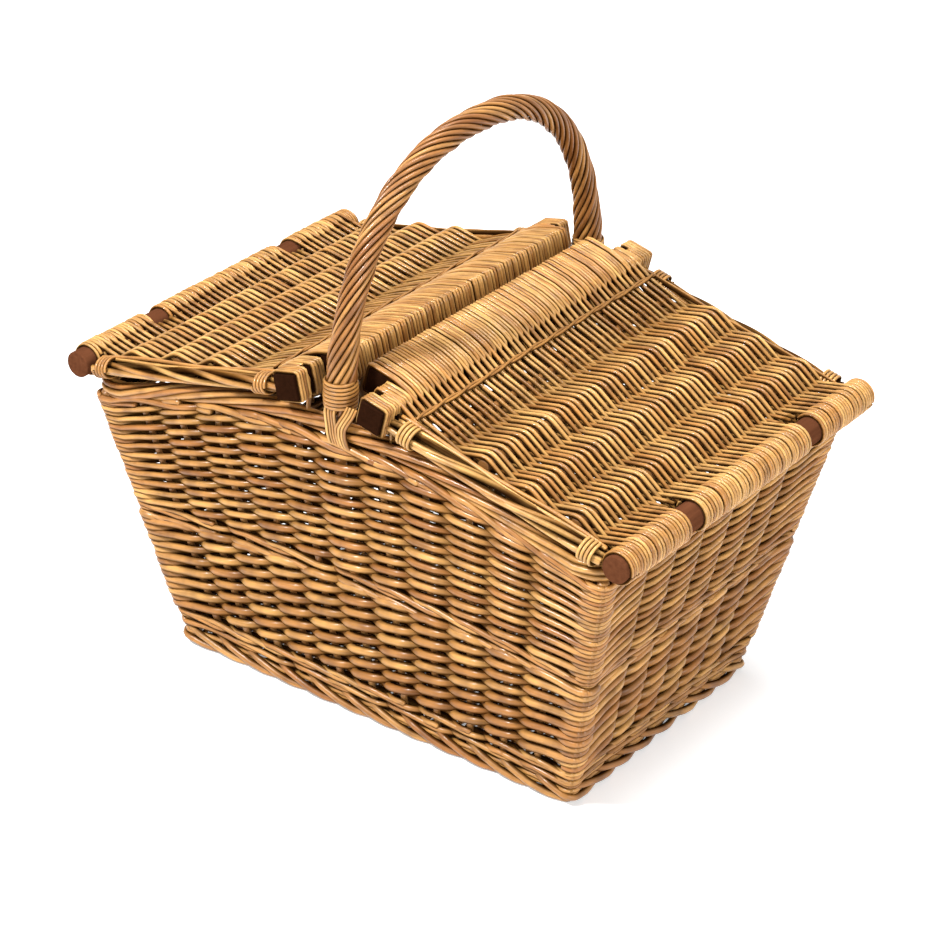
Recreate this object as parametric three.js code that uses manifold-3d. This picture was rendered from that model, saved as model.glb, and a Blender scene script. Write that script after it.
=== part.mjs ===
// A willow picnic hamper with two sloping lids and a fixed rope handle, in millimetres, +Z up.
// The origin is on the floor under the middle of the basket. X runs along the hamper, from lid to lid,
// and Y across it, from the front wall at -Y to the back wall at +Y.
import * as THREE from 'three';
import { mergeVertices } from 'three/addons/utils/BufferGeometryUtils.js';
import Module from 'manifold-3d';

const wasm = await Module();
wasm.setup();
const { Manifold } = wasm;

// Fits
const seatGap = 0.3; // between two pieces that touch
const cutOverrun = 2; // how far a cutting shape runs past what it cuts
const weldDistance = 0.001; // points nearer than this are one point

// Basket body: lengths and widths are between the middle surfaces of opposite walls
const baseLength = 376;
const baseWidth = 234;
const rimLength = 486;
const rimWidth = 328;
const rimEndHeight = 244; // centre of the border along the two ends
const gableRise = 40; // how much higher the border runs at the handle
const gableFlatLength = 100; // level stretch of the border at the handle
const gableTurnShares = [0.55, 0.8]; // where its slopes turn, as shares of the way to the corner

// Wall weave: rods that go in front of and behind upright stakes
const wallHalfThickness = 8;
const stakeRadius = 3;
const longWallStakeCount = 11; // the middle one stops under the bow, which takes its place
const endWallStakeCount = 7;
const cornerPostRadius = 5;
const cornerFlatWidth = 9; // cut off each corner of the weave, where the rods turn round the post

// Foot: the waling that the hamper stands on, with the stakes' bent feet inside it
const footHeight = 14;
const sillHeight = 7; // centre of the bent feet above the floor
const sillCornerClearance = 12; // from the end of a sill to the corner post

// Base: a flat mat woven round sticks that run along it
const baseUnderside = 2;
const baseThickness = 12;
const baseStickRadius = 3.6;
const baseStickCount = 5;
const baseStickInset = 3; // end of a base stick inside the edge of the mat
const baseRibPitch = 24;
const baseGrooveDepth = 1;
const baseGrooveWidth = 3;

// Border: the rolled rods round the rim
const borderRadius = 8;
const borderCornerRadius = 14;

// Handle: a bent bow, pushed down into the long walls, inside a rope of rods
const handleSpan = rimWidth; // the legs stand in the middle of the long walls
const handleSpringLift = 8; // where the legs begin to curve in, above the border
const handleRise = 186;
const handleSquareness = 2.3; // exponent of the arch: 2 is an ellipse
const bowRadius = 5;
const bowDepth = 142; // from the top of the border down to the end of the bow
const ropeRadius = 12;
const bowSteps = 36;
const ropeSteps = 30;

// Collars: a rod wound round each foot of the rope
const collarRodRadius = 1.45;
const collarPitch = 3.4;
const collarTurns = 7;
const collarLift = 3; // lowest turn above the border
const collarSteps = 12;

// Lashings: straps of rods from each collar, over the border and into the wall
const lashingWidth = 11;
const lashingThickness = 3.4;
const lashingSpacing = 13; // between the middles of the two straps of one leg
const lashingReach = 12; // how far a strap runs down the wall, below the border

// Lid hinges: cane loops in round necks near the ends of each inner bar
const hingeLift = 20; // hinge axis above the border, at the handle
const lidMiddleGap = 6.8; // from the middle of the hamper to a lid
const caneRadius = 1.3;
const neckRadius = 7.2;
const neckLength = 5;
const neckSlotRise = 2.5; // the slot in the wrap, above the hinge axis
const loopDepth = 10; // how far a loop's ends run into the border
const loopSteps = 10;

// Lid frame: an inner bar and an outer stick across the hamper, with thin sticks between them
const barSize = 20;
const barOverhang = 17; // past the middle of the long wall, at each end
const tongueClearance = 1.8; // between a collar and the second bar, which lies between the legs
const tongueLift = 4; // how much higher the second bar lies
const outerStickRadius = 11;
const outerStickOverhang = 12; // past the middle of the long wall, at each end
const rollRestAngle = Math.PI / 4; // from level, where the roll rests on the border of the end wall
const crossStickRadius = 5;
const crossStickCount = 4;
const firstCrossStickOffset = 47;
const firstCrossStickRadius = 3; // it is thinner and lies lower, level with the side borders
const lastCrossStickGap = 49; // from the last cross stick to the outer stick
const crossStickInset = 8; // end of a cross stick inside the outer face of the side border

// Lid weave
const lidRod = 2.6; // thickness of the rods where they wrap a bar or stick
const foldTop = 11; // weave above the middle plane where it leaves the wrap round the inner bar
const foldUnderside = 4;
const foldSeat = 5.4; // weave under the level rod that holds it down beside the bar
const foldRodRadius = 1.5;
const foldRodOffset = 27;
const lidWeaveInset = 4; // its edge inside the middle of the long wall
const barWrapInset = 3; // bare end of the inner bar
const rollInset = 5; // bare end of the outer stick
const bareGapLength = 20; // bare place on the outer stick, for a strap
const bareGapSpacing = 170;

// Lid side borders and their bindings
const sideBorderWidth = 16;
const sideBorderThickness = 9;
const sideBorderDrop = 4; // below the middle plane of the lid
const bindingRodRadius = 1.5;
const bindingPitch = 3.5;
const bindingTurns = 4;
const bindingSteps = 10;
const innerBindingGap = 9.6; // first turn from the wrap round the inner bar
const outerBindingGap = 3; // last turn from the roll round the outer stick

const roundSides = 12;
const octagonSides = 8;
const thinSides = 6;
const cordSides = 4;
const borderCornerSteps = 3;

const willow = new THREE.MeshStandardMaterial({ color: 0xb67f3f, roughness: 0.5, metalness: 0 });
const darkWillow = new THREE.MeshStandardMaterial({ color: 0x9a6128, roughness: 0.5, metalness: 0 });
const stainedWood = new THREE.MeshStandardMaterial({ color: 0x4a2412, roughness: 0.45, metalness: 0 });
const cane = new THREE.MeshStandardMaterial({ color: 0xc9964f, roughness: 0.45, metalness: 0 });

// A closed geometry through rings of points, each ring with as many points as the next
function loft(rings, closed = false) {
  const count = rings[0].length;
  const positions = rings.flat().flatMap((point) => [point.x, point.y, point.z]);
  const index = [];
  const spans = closed ? rings.length : rings.length - 1;
  for (let ring = 0; ring < spans; ring += 1) {
    const here = ring * count;
    const there = ((ring + 1) % rings.length) * count;
    for (let side = 0; side < count; side += 1) {
      const next = (side + 1) % count;
      index.push(here + side, here + next, there + next, here + side, there + next, there + side);
    }
  }
  if (!closed) {
    const last = (rings.length - 1) * count;
    for (let side = 1; side < count - 1; side += 1) {
      index.push(0, side + 1, side, last, last + side, last + side + 1);
    }
  }
  const geometry = new THREE.BufferGeometry();
  geometry.setAttribute('position', new THREE.Float32BufferAttribute(positions, 3));
  geometry.setIndex(index);
  return facingOut(geometry);
}

// The same geometry with its faces turned out, if they point in
function facingOut(geometry) {
  const { index } = geometry;
  const position = geometry.getAttribute('position');
  const [a, b, c] = [new THREE.Vector3(), new THREE.Vector3(), new THREE.Vector3()];
  let volume = 0;
  for (let i = 0; i < index.count; i += 3) {
    a.fromBufferAttribute(position, index.getX(i));
    b.fromBufferAttribute(position, index.getX(i + 1));
    c.fromBufferAttribute(position, index.getX(i + 2));
    volume += a.dot(b.cross(c));
  }
  if (volume < 0) {
    for (let i = 0; i < index.count; i += 3) {
      const second = index.getX(i + 1);
      index.setX(i + 1, index.getX(i + 2));
      index.setX(i + 2, second);
    }
  }
  return geometry;
}

// A three.js geometry as a solid that can be joined and cut
function solid(geometry) {
  const bare = geometry.clone();
  bare.deleteAttribute('normal');
  bare.deleteAttribute('uv');
  const merged = mergeVertices(bare, weldDistance);
  const vertProperties = merged.getAttribute('position').array;
  const triVerts = new Uint32Array(merged.index.array);
  return new Manifold(new wasm.Mesh({ numProp: 3, vertProperties, triVerts }));
}

// A solid as a three.js geometry
function geometryOf(shape) {
  const mesh = shape.getMesh();
  const geometry = new THREE.BufferGeometry();
  geometry.setAttribute('position', new THREE.BufferAttribute(mesh.vertProperties, 3));
  geometry.setIndex(new THREE.BufferAttribute(mesh.triVerts, 1));
  geometry.computeVertexNormals();
  return geometry;
}

// Adds a named piece to its group
function addPiece(group, name, shape, material) {
  const geometry = shape.isBufferGeometry ? shape : geometryOf(shape);
  const mesh = new THREE.Mesh(geometry, material);
  mesh.name = name;
  group.add(mesh);
  return mesh;
}

// A level ring of points round a centre
function levelCircle(centre, radius, sides) {
  return Array.from({ length: sides }, (_, side) => {
    const angle = (2 * Math.PI * side) / sides;
    const x = centre.x + radius * Math.cos(angle);
    return new THREE.Vector3(x, centre.y + radius * Math.sin(angle), centre.z);
  });
}

// A box by its middle and its sizes
function box(centre, lengthX, lengthY, lengthZ) {
  const geometry = new THREE.BoxGeometry(lengthX, lengthY, lengthZ);
  return solid(geometry.translate(centre.x, centre.y, centre.z));
}

// A round stick along Y
function stickAlongY(x, z, radius, length, sides) {
  return solid(new THREE.CylinderGeometry(radius, radius, length, sides).translate(x, 0, z));
}

// An outline in X and Z, extruded along Y about the middle
function extrudedAlongY(shape, length) {
  const geometry = new THREE.ExtrudeGeometry(shape, { depth: length, bevelEnabled: false });
  return solid(geometry.rotateX(Math.PI / 2).translate(0, length / 2, 0));
}

// Half the hamper's length and width between the walls' middle surfaces, at a height
function halfLengthAt(z) {
  const lean = Math.min(z, rimEndHeight) / rimEndHeight;
  return (baseLength + (rimLength - baseLength) * lean) / 2;
}
function halfWidthAt(z) {
  const lean = Math.min(z, rimEndHeight) / rimEndHeight;
  return (baseWidth + (rimWidth - baseWidth) * lean) / 2;
}

const borderCrown = rimEndHeight + gableRise + borderRadius; // top of the border at the handle
const handleSpring = borderCrown + handleSpringLift;
const bowTipHeight = borderCrown - bowDepth;
const hingeHeight = borderCrown + hingeLift;
const wrapHalf = barSize / 2 + seatGap + lidRod; // half the wrapped inner bar
const hingeOffset = barSize + seatGap + wrapHalf + lidMiddleGap; // hinge axis from the hamper's middle
const wallBottom = footHeight + seatGap;
const wallEndTop = rimEndHeight - borderRadius - seatGap;
const wallApexTop = wallEndTop + gableRise;
const gableFoot = rimLength / 2 - borderCornerRadius; // where the border begins to rise
const gableFlat = gableFlatLength / 2;

// The gable's outline over the right half of a long wall: places along the wall, and the rise there
const gablePoints = [gableFlat, ...gableTurnShares.map((share) => share * gableFoot), gableFoot].map((x) => {
  const rise = (gableRise * (gableFoot ** 2 - x ** 2)) / (gableFoot ** 2 - gableFlat ** 2);
  return new THREE.Vector2(x, rise);
});

// A wall in its own frame: it faces +X, runs along Y, and leans with the basket
function wallPanel(faceAt, endAt, top) {
  const levels = top > rimEndHeight ? [wallBottom, rimEndHeight, top] : [wallBottom, top];
  const rings = levels.map((z) => {
    const [face, end] = [faceAt(z), endAt(z) - seatGap];
    const outer = new THREE.Vector3(face + wallHalfThickness, end + wallHalfThickness, z);
    const inner = new THREE.Vector3(face - wallHalfThickness, end - wallHalfThickness, z);
    const mirrored = (point) => new THREE.Vector3(point.x, -point.y, point.z);
    return [outer, inner, mirrored(inner), mirrored(outer)];
  });
  return solid(loft(rings));
}

// The stakes of a wall and the sill that their bent feet make, in the wall's own frame
function stakeComb(faceAt, endAt, stakes, top, growth) {
  const radius = stakeRadius + growth;
  const tip = top - seatGap + growth * cutOverrun;
  const sillEnd = endAt(sillHeight) - sillCornerClearance + growth;
  const sill = new THREE.CylinderGeometry(radius, radius, 2 * sillEnd, thinSides);
  let comb = solid(sill.translate(faceAt(sillHeight), 0, sillHeight));
  const levels = top > rimEndHeight ? [sillHeight, rimEndHeight, tip] : [sillHeight, tip];
  for (let stake = 1; stake <= stakes; stake += 1) {
    const share = (2 * stake) / (stakes + 1) - 1;
    const rings = levels.map((z) => {
      const centre = new THREE.Vector3(faceAt(z), share * endAt(z), z);
      return levelCircle(centre, radius, thinSides);
    });
    comb = comb.add(solid(loft(rings)));
  }
  return comb;
}

// The outline that trims the long walls and their stakes to the gable, seen along Y
function gableTrim(drop) {
  const wide = rimLength;
  const top = wallEndTop - drop;
  const right = gablePoints.map(({ x, y }) => new THREE.Vector2(x, top + y));
  const left = right.map(({ x, y }) => new THREE.Vector2(-x, y)).reverse();
  const outline = [[-wide, -cutOverrun], [-wide, top], ...left, ...right, [wide, top], [wide, -cutOverrun]]
    .map((point) => (point.isVector2 ? point : new THREE.Vector2(...point)));
  return extrudedAlongY(new THREE.Shape(outline), rimWidth + 2 * (wallHalfThickness + cutOverrun));
}

// A block that follows the lean of the walls, grown outwards, with its corners cut off
function leaningBlock(growth, bottom, top, chamfer) {
  const rings = [bottom, rimEndHeight, top]
    .filter((z, place, all) => place !== 1 || (z > all[0] && z < all[2]))
    .map((z) => {
      const x = halfLengthAt(z) + growth;
      const y = halfWidthAt(z) + growth;
      const [cx, cy] = [x - chamfer, y - chamfer];
      const corners = [[x, -cy], [x, cy], [cx, y], [-cx, y], [-x, cy], [-x, -cy], [-cx, -y], [cx, -y]];
      return corners.map(([px, py]) => new THREE.Vector3(px, py, z));
    });
  return solid(loft(rings));
}

// A corner post in the first quadrant, leaning out with both walls
function cornerPost(growth) {
  const levels = [sillHeight - growth, wallEndTop - seatGap + growth * cutOverrun];
  const rings = levels.map((z) => {
    const centre = new THREE.Vector3(halfLengthAt(z), halfWidthAt(z), z);
    return levelCircle(centre, cornerPostRadius + growth, octagonSides);
  });
  return solid(loft(rings));
}

// All four posts
function cornerPosts(growth) {
  const first = cornerPost(growth);
  const right = first.add(first.mirror([0, 1, 0]));
  return right.add(right.mirror([1, 0, 0]));
}

// The handle's middle line, in X and Z: down each wall and over in an arch
class HandleLine extends THREE.Curve {
  constructor(bottom) {
    super();
    this.bottom = bottom;
  }

  getPoint(t, target = new THREE.Vector3()) {
    const side = t < 1 / 2 ? 1 : -1;
    const along = 1 - Math.abs(1 - 2 * t);
    const leg = handleSpring - this.bottom;
    const legShare = leg / (leg + handleRise + handleSpan / 2);
    if (along <= legShare) {
      const z = this.bottom + (along / legShare) * leg;
      return target.set(side * halfWidthAt(z) * (handleSpan / rimWidth), 0, z);
    }
    const angle = ((along - legShare) / (1 - legShare)) * (Math.PI / 2);
    const x = (handleSpan / 2) * Math.cos(angle) ** (2 / handleSquareness);
    const z = handleSpring + handleRise * Math.sin(angle) ** (2 / handleSquareness);
    return target.set(side * x, 0, z);
  }
}

// A round rod along the handle's line
function handleRod(bottom, radius, steps, sides) {
  const circle = levelCircle(new THREE.Vector3(), radius, sides).map((p) => new THREE.Vector2(p.x, p.y));
  const section = new THREE.Shape(circle);
  return solid(new THREE.ExtrudeGeometry(section, { steps, extrudePath: new HandleLine(bottom) }));
}

// The bow, and the same shape grown by the fit, which bores what the bow runs through
const bowRod = (growth) => handleRod(bowTipHeight - growth, bowRadius + growth, bowSteps, octagonSides);

// A rod wound round an upright oval core: its turns touch nothing, not even each other
function winding(name, halfAcross, halfDeep, rodRadius, pitch, turns, steps) {
  const chord = Math.cos(Math.PI / steps); // the straight steps cut inside the oval by this much
  const across = (halfAcross + seatGap + rodRadius) / chord;
  const deep = (halfDeep + seatGap + rodRadius) / chord;
  const path = [];
  const rings = [];
  for (let step = 0; step <= turns * steps; step += 1) {
    const angle = (2 * Math.PI * step) / steps;
    const point = new THREE.Vector3(across * Math.cos(angle), deep * Math.sin(angle), (pitch * step) / steps);
    const out = new THREE.Vector3(deep * Math.cos(angle), across * Math.sin(angle), 0).normalize();
    path.push(point);
    rings.push(Array.from({ length: cordSides }, (_, side) => {
      const turn = (2 * Math.PI * (side + 1 / 2)) / cordSides;
      const offset = out.clone().multiplyScalar(rodRadius * Math.cos(turn));
      return point.clone().add(offset).add(new THREE.Vector3(0, 0, rodRadius * Math.sin(turn)));
    }));
  }
  let least = Infinity;
  path.forEach((a, i) => path.slice(i + steps / 2).forEach((b) => {
    least = Math.min(least, a.distanceTo(b) - 2 * rodRadius);
  }));
  console.log(`${name}: least gap between turns ${least.toFixed(2)} mm`);
  return loft(rings);
}

// The foot, the base and the four walls
function addBasket(group) {
  const longWall = { faceAt: halfWidthAt, endAt: halfLengthAt, stakes: longWallStakeCount, top: wallApexTop };
  const endWall = { faceAt: halfLengthAt, endAt: halfWidthAt, stakes: endWallStakeCount, top: wallEndTop };
  const walls = [
    { ...longWall, name: 'front', turn: -Math.PI / 2 },
    { ...longWall, name: 'back', turn: Math.PI / 2 },
    { ...endWall, name: 'right', turn: 0 },
    { ...endWall, name: 'left', turn: Math.PI },
  ];
  const corners = leaningBlock(wallHalfThickness, -cutOverrun, wallApexTop + cutOverrun, cornerFlatWidth);
  let foot = leaningBlock(wallHalfThickness, 0, footHeight, cornerFlatWidth)
    .subtract(leaningBlock(-wallHalfThickness, -cutOverrun, footHeight + cutOverrun, seatGap))
    .subtract(cornerPosts(seatGap));
  for (const { name, faceAt, endAt, stakes, top, turn } of walls) {
    const long = faceAt === halfWidthAt;
    const degrees = THREE.MathUtils.radToDeg(turn);
    const toWall = (shape) => shape.rotate([0, 0, -degrees]);
    const trim = (drop) => toWall(gableTrim(drop));
    const channels = stakeComb(faceAt, endAt, stakes, top, seatGap);
    let comb = stakeComb(faceAt, endAt, stakes, top, 0);
    let weave = wallPanel(faceAt, endAt, top)
      .intersect(toWall(corners))
      .subtract(toWall(cornerPosts(seatGap)))
      .subtract(channels);
    if (long) {
      comb = comb.intersect(trim(seatGap)).subtract(bowRod(seatGap));
      weave = weave.intersect(trim(0)).subtract(bowRod(seatGap));
    }
    addPiece(group, `${name}_weave`, weave, willow).rotation.z = turn;
    addPiece(group, `${name}_stakes`, comb, darkWillow).rotation.z = turn;
    foot = foot.subtract(channels.rotate([0, 0, degrees]));
  }
  addPiece(group, 'foot_wale', foot, willow);
  const backRight = cornerPost(0);
  const frontRight = backRight.mirror([0, 1, 0]);
  addPiece(group, 'corner_post_back_right', backRight, darkWillow);
  addPiece(group, 'corner_post_front_right', frontRight, darkWillow);
  addPiece(group, 'corner_post_back_left', backRight.mirror([1, 0, 0]), darkWillow);
  addPiece(group, 'corner_post_front_left', frontRight.mirror([1, 0, 0]), darkWillow);
}

// The woven mat of the base, ribbed across, on its five sticks
function addBase(group) {
  const middle = baseUnderside + baseThickness / 2;
  let mat = leaningBlock(-wallHalfThickness - seatGap, baseUnderside, baseUnderside + baseThickness, seatGap);
  const length = 2 * (halfLengthAt(middle) - wallHalfThickness - seatGap);
  const width = 2 * (halfWidthAt(middle) - wallHalfThickness - seatGap);
  const top = baseUnderside + baseThickness;
  const groove = (x) => box(new THREE.Vector3(x, 0, top), baseGrooveWidth, rimWidth, 2 * baseGrooveDepth);
  for (let rib = 0; rib * baseRibPitch < length / 2 - baseRibPitch; rib += 1) {
    const x = (rib + 1 / 2) * baseRibPitch;
    mat = mat.subtract(groove(x)).subtract(groove(-x));
  }
  for (let stick = 1; stick <= baseStickCount; stick += 1) {
    const y = width * (stick / (baseStickCount + 1) - 1 / 2);
    const rod = (radius, reach) => new THREE.CylinderGeometry(radius, radius, reach, octagonSides)
      .rotateZ(Math.PI / 2).translate(0, y, middle);
    mat = mat.subtract(solid(rod(baseStickRadius + seatGap, length + 2 * cutOverrun)));
    addPiece(group, `base_stick_${stick}`, rod(baseStickRadius, length - 2 * baseStickInset), darkWillow);
  }
  addPiece(group, 'base_weave', mat, willow);
}

// One cane loop, upside down U, over the neck of a bar, in the plane across the hinge axis
function hingeLoop(growth) {
  const radius = neckRadius + seatGap + caneRadius;
  const bottom = borderCrown - loopDepth - growth;
  const foot = (x) => new THREE.Vector3(x, 0, bottom);
  const arc = Array.from({ length: loopSteps + 1 }, (_, step) => {
    const angle = (Math.PI * step) / loopSteps;
    return new THREE.Vector3(radius * Math.cos(angle), 0, hingeHeight + radius * Math.sin(angle));
  });
  const rings = [foot(radius), ...arc, foot(-radius)].map((point) => {
    const rise = Math.max(point.z - hingeHeight, 0);
    const out = new THREE.Vector3(point.x, 0, rise).normalize();
    return Array.from({ length: thinSides }, (_, side) => {
      const turn = (2 * Math.PI * side) / thinSides;
      const offset = out.clone().multiplyScalar((caneRadius + growth) * Math.cos(turn));
      return point.clone().add(offset).add(new THREE.Vector3(0, (caneRadius + growth) * Math.sin(turn), 0));
    });
  });
  return solid(loft(rings));
}

// The border, with sockets for the bow and the hinge loops
function addBorder(group) {
  const cornerRadius = borderRadius / Math.cos(Math.PI / octagonSides);
  const [cx, cy] = [rimLength / 2 - borderCornerRadius, rimWidth / 2 - borderCornerRadius];
  const stations = [];
  for (let corner = 0; corner < 4; corner += 1) {
    const [sx, sy] = [[1, 1], [-1, 1], [-1, -1], [1, -1]][corner];
    for (let step = 0; step <= borderCornerSteps; step += 1) {
      const angle = (Math.PI / 2) * (corner + step / borderCornerSteps);
      const out = new THREE.Vector3(Math.cos(angle), Math.sin(angle), 0);
      const x = sx * cx + borderCornerRadius * out.x;
      const y = sy * cy + borderCornerRadius * out.y;
      stations.push({ centre: new THREE.Vector3(x, y, rimEndHeight), out });
    }
    if (sx === sy) {
      const out = new THREE.Vector3(0, sy, 0);
      const slope = gablePoints.slice(0, -1).map((point) => [sx * point.x, rimEndHeight + point.y]);
      for (const [x, z] of [...slope.toReversed(), ...slope.map(([px, pz]) => [-px, pz])]) {
        stations.push({ centre: new THREE.Vector3(x, (sy * rimWidth) / 2, z), out });
      }
    }
  }
  const rings = stations.map(({ centre, out }) => Array.from({ length: octagonSides }, (_, side) => {
    const turn = (2 * Math.PI * (side + 1 / 2)) / octagonSides;
    const point = centre.clone().addScaledVector(out, cornerRadius * Math.cos(turn));
    return point.add(new THREE.Vector3(0, 0, cornerRadius * Math.sin(turn)));
  }));
  let border = solid(loft(rings, true));
  border = border.subtract(bowRod(seatGap).rotate([0, 0, 90]));
  const socket = hingeLoop(seatGap);
  for (const x of [-hingeOffset, hingeOffset]) {
    for (const y of [-rimWidth / 2, rimWidth / 2]) border = border.subtract(socket.translate([x, y, 0]));
  }
  addPiece(group, 'rim_border', border, willow);
}

// The bow, the rope round it, and what ties them down
function addHandle(group) {
  const rope = handleRod(borderCrown + seatGap, ropeRadius, ropeSteps, roundSides).subtract(bowRod(seatGap));
  addPiece(group, 'handle_bow', bowRod(0), darkWillow).rotation.z = Math.PI / 2;
  addPiece(group, 'handle_rope', rope, willow).rotation.z = Math.PI / 2;

  const face = borderRadius + seatGap; // outside of the border, from its middle
  const ropeFace = ropeRadius + seatGap;
  const low = borderCrown - 2 * borderRadius - lashingReach;
  const high = borderCrown + collarLift - collarRodRadius - seatGap;
  const strap = new THREE.Shape([
    new THREE.Vector2(face, low),
    new THREE.Vector2(face, borderCrown - borderRadius),
    new THREE.Vector2(ropeFace, borderCrown),
    new THREE.Vector2(ropeFace, high),
    new THREE.Vector2(ropeFace + lashingThickness, high),
    new THREE.Vector2(ropeFace + lashingThickness, borderCrown),
    new THREE.Vector2(face + lashingThickness, borderCrown - borderRadius),
    new THREE.Vector2(face + lashingThickness, low),
  ]);
  for (const [name, sy] of [['front', -1], ['back', 1]]) {
    const y = sy * handleSpan / 2;
    const label = `handle_collar_${name}`;
    const size = [ropeRadius, ropeRadius, collarRodRadius, collarPitch, collarTurns, collarSteps];
    addPiece(group, label, winding(label, ...size), cane).position.set(0, y, borderCrown + collarLift);
    for (const [mark, sx] of [['a', -1], ['b', 1]]) {
      const rods = extrudedAlongY(strap, lashingWidth);
      const lashing = addPiece(group, `handle_lashing_${name}_${mark}`, rods, cane);
      lashing.position.set((sx * lashingSpacing) / 2, y, 0);
      lashing.rotation.z = sy * Math.PI / 2;
    }
    for (const [mark, sx] of [['left', -1], ['right', 1]]) {
      const loop = addPiece(group, `hinge_loop_${mark}_${name}`, hingeLoop(0), cane);
      loop.position.set(sx * hingeOffset, y, 0);
    }
  }
}

const lidHalfThickness = lidRod / 2 + seatGap; // where the lid's rods cross between two sticks
const lidWeaveWidth = rimWidth - 2 * lidWeaveInset;
const barLength = rimWidth + 2 * barOverhang;
const outerStickLength = rimWidth + 2 * outerStickOverhang;
const collarReach = ropeRadius + seatGap + 2 * collarRodRadius;
const tongueLength = rimWidth - 2 * (collarReach + tongueClearance);
const tongueOffset = -(barSize + seatGap);
const rollRadius = outerStickRadius + seatGap + lidRod;

// The outer stick lies where its roll rests on the border of the end wall, which sets the lid's slope
const restDistance = rollRadius + borderRadius + seatGap;
const hingeToStick = new THREE.Vector2(
  rimLength / 2 + restDistance * Math.cos(rollRestAngle) - hingeOffset,
  hingeHeight - rimEndHeight - restDistance * Math.sin(rollRestAngle),
);
const outerStickOffset = hingeToStick.length();
const lidSlope = Math.atan2(hingeToStick.y, hingeToStick.x);
const rollStart = outerStickOffset - rollRadius;
const crossStickReach = outerStickOffset - lastCrossStickGap - firstCrossStickOffset;
const crossSticks = Array.from({ length: crossStickCount }, (_, stick) => ({
  s: firstCrossStickOffset + (stick * crossStickReach) / (crossStickCount - 1),
  n: stick === 0 ? -sideBorderDrop : 0,
  radius: stick === 0 ? firstCrossStickRadius : crossStickRadius,
}));
const crossStickLength = lidWeaveWidth + 2 * (seatGap + sideBorderWidth - crossStickInset);
const sideBorderMiddle = lidWeaveWidth / 2 + seatGap + sideBorderWidth / 2;
const bindingRise = bindingTurns * bindingPitch; // from the first turn of a binding to its last
const bindingPlaces = {
  inner: wrapHalf + innerBindingGap + bindingRodRadius,
  outer: rollStart - outerBindingGap - bindingRodRadius - bindingRise,
};

// Edge of the woven panel on its upper (1) or lower (-1) side: past each cross stick, and in to where the
// rods that pass over it cross the ones that pass under it
function bandEdge(side) {
  const outerStick = { s: outerStickOffset, n: 0, radius: outerStickRadius };
  const edge = crossSticks.flatMap((stick, place) => {
    const next = crossSticks[place + 1] ?? outerStick;
    const clear = stick.n + side * (stick.radius + seatGap + lidRod);
    const crossing = (stick.radius + lidRod / 2) / (stick.radius + next.radius + lidRod);
    const s = THREE.MathUtils.lerp(stick.s, next.s, crossing);
    const n = THREE.MathUtils.lerp(stick.n, next.n, crossing) + side * lidHalfThickness;
    return [[stick.s - stick.radius, clear], [stick.s + stick.radius, clear], [s, n]];
  });
  const ontoRoll = (5 * Math.PI) / 6;
  edge.push([outerStickOffset + rollRadius * Math.cos(ontoRoll), side * rollRadius * Math.sin(ontoRoll)]);
  return edge.map(([s, n]) => new THREE.Vector2(s, n));
}

// Outline of the woven panel between the inner bar and the roll: the fold beside the bar, under its level
// rod, and then bands over and under the cross sticks
function bandOutline() {
  const foldRodTop = foldSeat + 2 * foldRodRadius;
  const fold = [
    [0, foldUnderside],
    [0, foldTop],
    [wrapHalf, foldTop],
    [foldRodOffset - foldRodRadius, foldSeat],
    [foldRodOffset - foldRodRadius / 2, foldRodTop],
    [foldRodOffset + foldRodRadius / 2, foldRodTop],
    [foldRodOffset + foldRodRadius, foldSeat],
  ].map(([s, n]) => new THREE.Vector2(s, n));
  const underside = [...bandEdge(-1).reverse(), new THREE.Vector2(wrapHalf, foldUnderside)];
  return new THREE.Shape([...fold, ...bandEdge(1), ...underside]);
}

// The woven part of a lid: bands over the sticks, a wrap round the bars and a roll round the outer stick
function lidWeave() {
  const centre = (s, y, n) => new THREE.Vector3(s, y, n);
  const wrapLength = barLength - 2 * barWrapInset;
  const rollLength = outerStickLength - 2 * rollInset;
  const tongueSleeve = [wrapHalf - tongueOffset + barSize / 2, tongueLength, 2 * wrapHalf];
  let weave = extrudedAlongY(bandOutline(), lidWeaveWidth)
    .add(box(centre(0, 0, 0), 2 * wrapHalf, wrapLength, 2 * wrapHalf))
    .add(box(centre((tongueOffset + barSize / 2 - wrapHalf) / 2, 0, tongueLift), ...tongueSleeve))
    .add(stickAlongY(outerStickOffset, 0, rollRadius, rollLength, roundSides));
  const around = barSize + 2 * seatGap;
  weave = weave
    .subtract(box(centre(0, 0, 0), around, barLength + cutOverrun, around))
    .subtract(box(centre(tongueOffset, 0, tongueLift), around, tongueLength + cutOverrun, around))
    .subtract(stickAlongY(outerStickOffset, 0, outerStickRadius + seatGap, outerStickLength, roundSides));
  for (const { s, n, radius } of crossSticks) {
    weave = weave.subtract(stickAlongY(s, n, radius + seatGap, lidWeaveWidth + cutOverrun, thinSides));
  }
  for (const side of [-1, 1]) {
    const across = 2 * rollRadius + cutOverrun;
    const bare = centre(outerStickOffset, (side * bareGapSpacing) / 2, 0);
    weave = weave.subtract(box(bare, across, bareGapLength, across));
    const y = side * rimWidth / 2;
    const reach = wrapHalf + cutOverrun;
    const below = box(centre(0, y, (neckSlotRise - reach) / 2), 2 * reach, neckLength, reach + neckSlotRise);
    const inside = box(centre(-reach / 2, y, 0), reach, neckLength, 2 * reach);
    weave = weave.subtract(below).subtract(inside);
    const notchDepth = 2 * (2 * bindingRodRadius + 2 * seatGap);
    const notchLength = bindingRise + 2 * (bindingRodRadius + seatGap);
    for (const s of Object.values(bindingPlaces)) {
      const middle = centre(s + bindingRise / 2, (side * lidWeaveWidth) / 2, 0);
      weave = weave.subtract(box(middle, notchLength, notchDepth, 2 * reach));
    }
  }
  return weave;
}

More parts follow.
